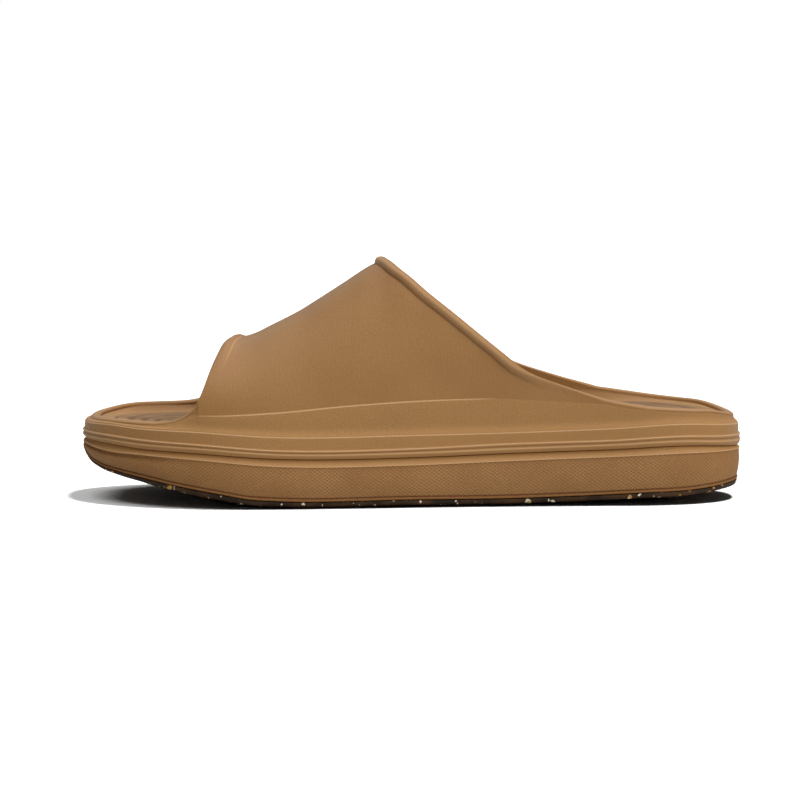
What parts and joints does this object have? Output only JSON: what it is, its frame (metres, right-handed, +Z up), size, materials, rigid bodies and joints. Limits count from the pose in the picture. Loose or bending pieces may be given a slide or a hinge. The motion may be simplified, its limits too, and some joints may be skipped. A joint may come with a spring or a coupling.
{
  "type": "sport slide sandal",
  "caption": "Moulded foam slide sandal, left foot: one wide instep strap, open toe and heel, ribbed side band, lattice-textured midsole, thin flecked rubber outsole and contoured footbed.",
  "frame": {"origin": "middle of the shoe's length and width, on the floor that the sole stands on", "axes": "+X runs from the toe to the heel, -Y is the lateral (outer) side of this left shoe, +Z is up"},
  "size_m": [0.29, 0.1071, 0.105],
  "materials": {
    "moulded_foam": "satin, fine pebble",
    "textured_foam": "matte, lattice relief",
    "flecked_rubber": "matte, with pale flecks",
    "footbed_foam": "matte"
  },
  "bodies": {
    "root": {"upper": "moulded_foam", "midsole": "textured_foam", "outsole": "flecked_rubber", "insole": "footbed_foam"}
  },
  "joints": []
}
